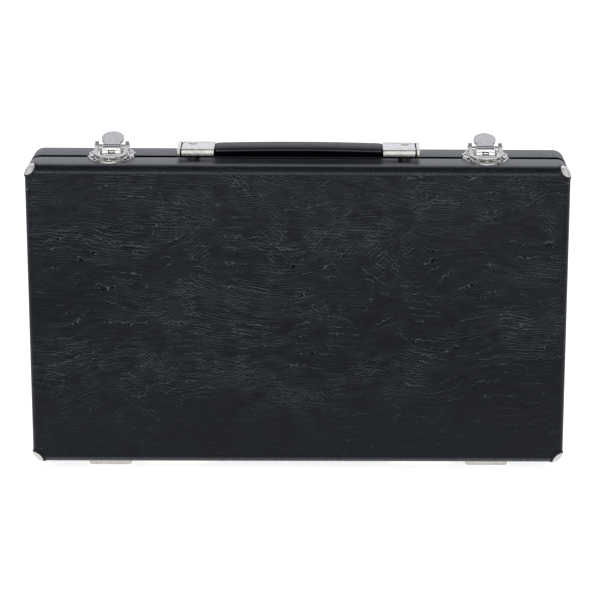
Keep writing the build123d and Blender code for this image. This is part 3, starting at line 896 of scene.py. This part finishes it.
def makeLatchPlate(side):
    pivotLow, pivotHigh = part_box(f"latch_{side}_pivot_pin")
    pivot = (pivotLow + pivotHigh) / 2
    earOuter = (pivotHigh.x - pivotLow.x) / 2 - earShape["pinShown"]
    half = earShape["sheet"] / 2
    foot = caseTop + plateShape["sheet"] * earShape["sunk"]
    shoulder = pivot.z + earShape["shoulder"] * earShape["radius"]
    bm = plateForm(pivot.x, 1)
    for sign in (-1, 1):
        middle = pivot.x + sign * (earOuter - half)
        addDisc(bm, Vector((middle, pivot.y, pivot.z)), earShape["radius"], earShape["sheet"],
                earShape["edge"])
        addBox(bm, (middle - half, seamY + earShape["front"], foot),
               (middle + half, seamY + earShape["back"], shoulder), earShape["edge"])
    addPiece(f"latchPlate_{side}", bm, "base", [finishes["nickel"], finishes["paintedShade"]],
             [f"latch_{side}_plate"])


def makeLatchCatch(side):
    hook = hookShape
    centreX = middleOf(f"latch_{side}_pivot_pin").x
    bm = plateForm(centreX, -1)
    centre = Vector((centreX, seamY - hook["bendBack"], caseTop))
    start = Matrix.Rotation(math.radians(-90 - hook["halfAngle"]), 4, "Z")
    made = bmesh.ops.create_grid(bm, x_segments=1, y_segments=1, size=0.5)["verts"]
    bmesh.ops.scale(bm, vec=(hook["sheet"], hook["height"], 1), verts=made)
    bmesh.ops.rotate(bm, cent=(0, 0, 0), matrix=Matrix.Rotation(math.radians(90), 3, "X"), verts=made)
    bmesh.ops.translate(bm, vec=(hook["radius"] - hook["sheet"] / 2, 0, hook["height"] / 2), verts=made)
    bmesh.ops.transform(bm, matrix=Matrix.Translation(centre) @ start, verts=made)
    faces = list({item for vert in made for item in vert.link_faces})
    edges = list({item for vert in made for item in vert.link_edges})
    bmesh.ops.spin(bm, geom=made + edges + faces, cent=centre, axis=(0, 0, 1),
                   angle=math.radians(2 * hook["halfAngle"]), steps=hook["steps"])
    bmesh.ops.recalc_face_normals(bm, faces=bm.faces)
    addPiece(f"latchCatch_{side}", bm, "lid", [finishes["nickel"], finishes["paintedShade"]],
             [f"latch_{side}_catch"])


# Front wall of the lever with its peep, and dark lines of painted shade where the tab is rolled round the
# pins; the peep's ring is painted shade too
leverShape = {
    "halfWidth": 5.1 * mm,
    "wallLow": -1.2 * mm,
    "wallHigh": 1.6 * mm,
    "wall": 0.5 * mm,
    "front": 1.92 * mm,
    "peepHalf": (1.15 * mm, 0.3 * mm),
    "peepRing": 0.62 * mm,
    "peepUp": -0.42 * mm,
    "peepProud": (0.06 * mm, 0.03 * mm),  # the peep and its ring
    "peepDeep": 0.2 * mm,
    "lean": 10.5,
    "lines": (0.38, 0.85),
    "lineHalf": 4.7 * mm,
    "lineWidth": 0.9 * mm,
    "lineDeep": 0.2 * mm,
    "lineProud": 0.04 * mm,
    "barrelRadius": 1.9 * mm,
    "rollRadius": 1.2 * mm,
}


def makeLeverFront(side):
    shape = leverShape
    pivot = middleOf(f"latch_{side}_pivot_pin")
    bailPivot = middleOf(f"latch_{side}_bail_pin")
    bm = bmesh.new()
    front = pivot.y - shape["front"]
    addBox(bm, (pivot.x - shape["halfWidth"], front, pivot.z + shape["wallLow"]),
           (pivot.x + shape["halfWidth"], front + shape["wall"], pivot.z + shape["wallHigh"]))
    across, tall = shape["peepHalf"]
    middle = pivot.z + shape["peepUp"]
    for grow, proud in zip((shape["peepRing"], 0), reversed(shape["peepProud"])):
        faces = addBox(bm, (pivot.x - across - grow, front - proud, middle - tall - grow),
                       (pivot.x + across + grow, front + shape["peepDeep"], middle + tall + grow))
        # the ring round the peep is painted shade
        if grow:
            useSecond(faces)
    bmesh.ops.rotate(bm, cent=(pivot.x, front, pivot.z),
                     matrix=Matrix.Rotation(math.radians(-shape["lean"]), 3, "X"), verts=bm.verts)
    nearEnd = Vector((pivot.x, pivot.y, pivot.z + shape["barrelRadius"]))
    farEnd = Vector((pivot.x, bailPivot.y, bailPivot.z + shape["rollRadius"]))
    slope = math.atan2(farEnd.z - nearEnd.z, farEnd.y - nearEnd.y)
    # dark lines of painted shade where the tab is rolled round the pins
    for share in shape["lines"]:
        shadeLine = addBox(bm, (-shape["lineHalf"], -shape["lineWidth"] / 2, -shape["lineDeep"]),
                      (shape["lineHalf"], shape["lineWidth"] / 2, shape["lineProud"]))
        turn = Matrix.Translation(farEnd.lerp(nearEnd, share)) @ Matrix.Rotation(slope, 4, "X")
        bmesh.ops.transform(bm, matrix=turn, verts=list({vert for face in shadeLine for vert in face.verts}))
        useSecond(shadeLine)
    bmesh.ops.recalc_face_normals(bm, faces=bm.faces)
    addPiece(f"leverFront_{side}", bm, f"lever_{side}",
             [finishes["bailNickel"], finishes["paintedShade"]])


# Handle: a crowned grip between two sheet caps, each with a rolled collar at its outer end
gripShape = {
    "crown": 0.7 * mm,
    "sag": 0.3 * mm,
    "edge": 0.7 * mm,
    "corner": 3.0 * mm,
    "roundSteps": 6,
    "columns": 40,
    "rows": 12,
    "tongueInset": 0.9 * mm,
}
capShape = {
    "collar": 2.0 * mm,
    "collarProud": 0.28 * mm,
    "collarProudAbove": 0.3,  # share of that
    "collarEdge": 0.6 * mm,
    "groove": 0.55 * mm,
    "grooveDepth": 0.3 * mm,
    "edge": 0.3 * mm,
    "lineProud": 0.02 * mm,
    "lineLow": 0.7 * mm,
    "lineHigh": 0.3 * mm,
}


def makeGripPiece():
    shape = gripShape
    low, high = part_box("handle_grip")
    capLow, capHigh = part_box("handle_cap_right")
    capInner = capLow.x
    thick, half = high.z - low.z - shape["crown"], (high.y - low.y) / 2
    bm = bmesh.new()
    bmesh.ops.create_cube(bm, size=1)
    bmesh.ops.scale(bm, vec=(2 * capInner, 2 * half, thick), verts=bm.verts)
    bmesh.ops.translate(bm, vec=(0, seamY, low.z + thick / 2), verts=bm.verts)
    upright = [edge for edge in bm.edges if abs(edge.verts[0].co.z - edge.verts[1].co.z) > mm]
    bevelEdges(bm, upright, shape["corner"], shape["roundSteps"])
    level = [edge for edge in bm.edges if abs(edge.verts[0].co.z - edge.verts[1].co.z) < nearby]
    bevelEdges(bm, level, shape["edge"], shape["roundSteps"])
    for index in range(1, shape["columns"]):
        cutAt(bm, Vector((1, 0, 0)), capInner * (2 * index / shape["columns"] - 1))
    for index in range(1, shape["rows"]):
        cutAt(bm, Vector((0, 1, 0)), seamY + half * (2 * index / shape["rows"] - 1))
    for vert in bm.verts:
        lift = (vert.co.z - low.z) / thick
        rise = shape["crown"] * (1 - (vert.co.x / capInner) ** 2)
        fall = shape["sag"] * ((vert.co.y - seamY) / half) ** 2
        vert.co.z += lift * (rise - fall)
    inset = shape["tongueInset"]
    for start, end in ((low.x, shape["corner"] - capInner), (capInner - shape["corner"], high.x)):
        addBox(bm, (start, capLow.y + inset, capLow.z + inset), (end, capHigh.y - inset, capHigh.z - inset))
    bmesh.ops.recalc_face_normals(bm, faces=bm.faces)
    addPiece("handleGrip", bm, "handle", [finishes["grip"]], ["handle_grip"], sharp=50)


def makeHandleCap(side):
    shape = capShape
    low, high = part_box(f"handle_cap_{side}")
    outward = 1 if high.x > 0 else -1
    inner, outer = (low.x, high.x) if outward > 0 else (high.x, low.x)
    collarInner = outer - outward * shape["collar"]
    groove, depth, proud = shape["groove"], shape["grooveDepth"], shape["collarProud"]
    bm = bmesh.new()

    def addSlice(start, end, widened, bottom, top, edge=0.0):
        fromX, toX = sorted((start, end))
        return addBox(bm, (fromX, low.y - widened, bottom), (toX, high.y + widened, top), edge)

    bodyEnd = collarInner - outward * groove
    addSlice(inner, bodyEnd, 0, low.z, high.z, shape["edge"])
    neck = addSlice(bodyEnd - outward * groove, collarInner + outward * groove, -depth,
                    low.z + depth, high.z - depth)
    shadeLine = addSlice(inner, bodyEnd, shape["lineProud"],
                    high.z - shape["lineLow"], high.z - shape["lineHigh"])
    # the groove's neck and a thin line near the top are painted shade
    useSecond(neck + shadeLine)
    collarTop = high.z + proud * shape["collarProudAbove"]
    addSlice(collarInner, outer, proud, low.z - proud, collarTop, shape["collarEdge"])
    addPiece(f"handleCap_{side}", bm, "handle", [finishes["nickel"], finishes["paintedShade"]],
             [f"handle_cap_{side}"])


softRound = {"lever": (0.2 * mm, 3), "bail": (0.35 * mm, 3), "corner": (0.1 * mm, 2)}  # radius and steps

makeGripPiece()
for side in ("left", "right"):
    makeHandleCap(side)
    makeLatchPlate(side)
    makeLatchCatch(side)
    makeLeverFront(side)
    softCopy(f"latchLever_{side}", f"latch_{side}_lever", f"lever_{side}", finishes["tabNickel"],
             *softRound["lever"])
    softCopy(f"latchBail_{side}", f"latch_{side}_bail", f"bail_{side}", finishes["bailNickel"],
             *softRound["bail"])
    for level in ("bottom", "top"):
        softCopy(f"cornerCap_{level}_{side}", f"corner_cap_{level}_{side}", "lid", finishes["cornerNickel"],
                 *softRound["corner"])
print("metal made")


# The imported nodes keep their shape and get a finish
slotOf = {row["node"]: row["material_slot"] for row in frame["record"]["subparts"]}
for node, packed in frame["nodes"].items():
    packed.data.materials.clear()
    packed.data.materials.append(finishes[slotOf[node]])


# Floor, backdrop and light
studio = {
    "worldDiffuse": 0.4,
    "wall": (0.0, 0.42, 0.1, 1.0),  # Y of the direction from and to, brightness at each
    "glossyTint": (0.95, 0.98, 1.06),
    "floorSize": 4,
    "floorColour": (0.8, 0.8, 0.8),
    "floorSeen": 0.85,
    "floorNear": (-0.3, -0.05, 0.1, 0.7),  # Y from and to, brightness at each
    "floorFront": (-0.72, -0.6, 0.8, 0.0),
    "boxes": (  # name, place, aim, size, strength
        ("topBox", (0, 0.55, 1.1), (0, 0.1, 0.1), (1.4, 0.7), 2.0),
        ("leftBox", (-1.0, -0.5, 0.7), (0, 0, 0.1), (0.5, 0.9), 1.6),
        ("rightBox", (1.0, -0.5, 0.7), (0, 0, 0.1), (0.5, 0.9), 1.6),
        ("frontBox", (0.1, -1.8, 0.55), (0, 0, 0.1), (1.2, 0.3), 1.4),
        ("stripBox", (0, -2.2, 0.42), (0, 0, 0.15), (2.4, 0.22), 5.0),
    ),
}


def makeFloor():
    bm = bmesh.new()
    bmesh.ops.create_grid(bm, x_segments=1, y_segments=1, size=studio["floorSize"])
    mesh = bpy.data.meshes.new("floor")
    bm.to_mesh(mesh)
    bm.free()
    material = bpy.data.materials.new("floor")
    material.use_nodes = True
    tree = material.node_tree
    tree.nodes.clear()
    out = addNode(tree, "ShaderNodeOutputMaterial")
    diffuse = addNode(tree, "ShaderNodeBsdfDiffuse")
    diffuse.inputs["Color"].default_value = (*studio["floorColour"], 1)
    glow = addNode(tree, "ShaderNodeEmission")
    path = addNode(tree, "ShaderNodeLightPath").outputs
    seen = greatest(tree, (path["Is Camera Ray"], path["Is Transmission Ray"]))
    axes = splitAxes(tree, addNode(tree, "ShaderNodeTexCoord").outputs["Object"])
    # metal sees a bright floor close by and again well before the case, leather sees the dark part between
    near = ramp(tree, axes["Y"], *studio["floorNear"])
    front = ramp(tree, axes["Y"], *studio["floorFront"])
    mirrored = multiply(tree, path["Is Glossy Ray"], greatest(tree, (near, front)))
    brightness = doMath(tree, "MULTIPLY_ADD", seen, studio["floorSeen"], mirrored)
    tree.links.new(brightness, glow.inputs["Strength"])
    both = addNode(tree, "ShaderNodeAddShader")
    tree.links.new(diffuse.outputs[0], both.inputs[0])
    tree.links.new(glow.outputs[0], both.inputs[1])
    tree.links.new(both.outputs[0], out.inputs["Surface"])
    mesh.materials.append(material)
    floor = bpy.data.objects.new("floor", mesh)
    bpy.context.scene.collection.objects.link(floor)


def addSoftbox(name, place, aim, size, strength):
    lamp = bpy.data.lights.new(name, "AREA")
    lamp.shape = "RECTANGLE"
    lamp.size, lamp.size_y = size
    lamp.energy = strength
    box = bpy.data.objects.new(name, lamp)
    direction = Vector(aim) - Vector(place)
    box.matrix_world = Matrix.Translation(place) @ direction.to_track_quat("-Z", "Y").to_matrix().to_4x4()
    bpy.context.scene.collection.objects.link(box)


def lightStudio():
    world = bpy.data.worlds.new("studio")
    bpy.context.scene.world = world
    world.use_nodes = True
    tree = world.node_tree
    back = tree.nodes["Background"]
    path = addNode(tree, "ShaderNodeLightPath").outputs
    axes = splitAxes(tree, addNode(tree, "ShaderNodeTexCoord").outputs["Generated"])
    # metal sees a bright wall behind the case and a dark room above and before it
    wall = multiply(tree, path["Is Glossy Ray"], ramp(tree, axes["Y"], *studio["wall"]))
    seen = greatest(tree, (path["Is Camera Ray"], path["Is Transmission Ray"], wall))
    tree.links.new(doMath(tree, "MAXIMUM", seen, studio["worldDiffuse"]), back.inputs["Strength"])
    tint = blendColours(tree, path["Is Glossy Ray"], (1, 1, 1), studio["glossyTint"])
    tree.links.new(tint, back.inputs["Color"])
    for row in studio["boxes"]:
        addSoftbox(*row)


makeFloor()
lightStudio()
bpy.context.scene.view_settings.view_transform = "Standard"
print("studio lit")
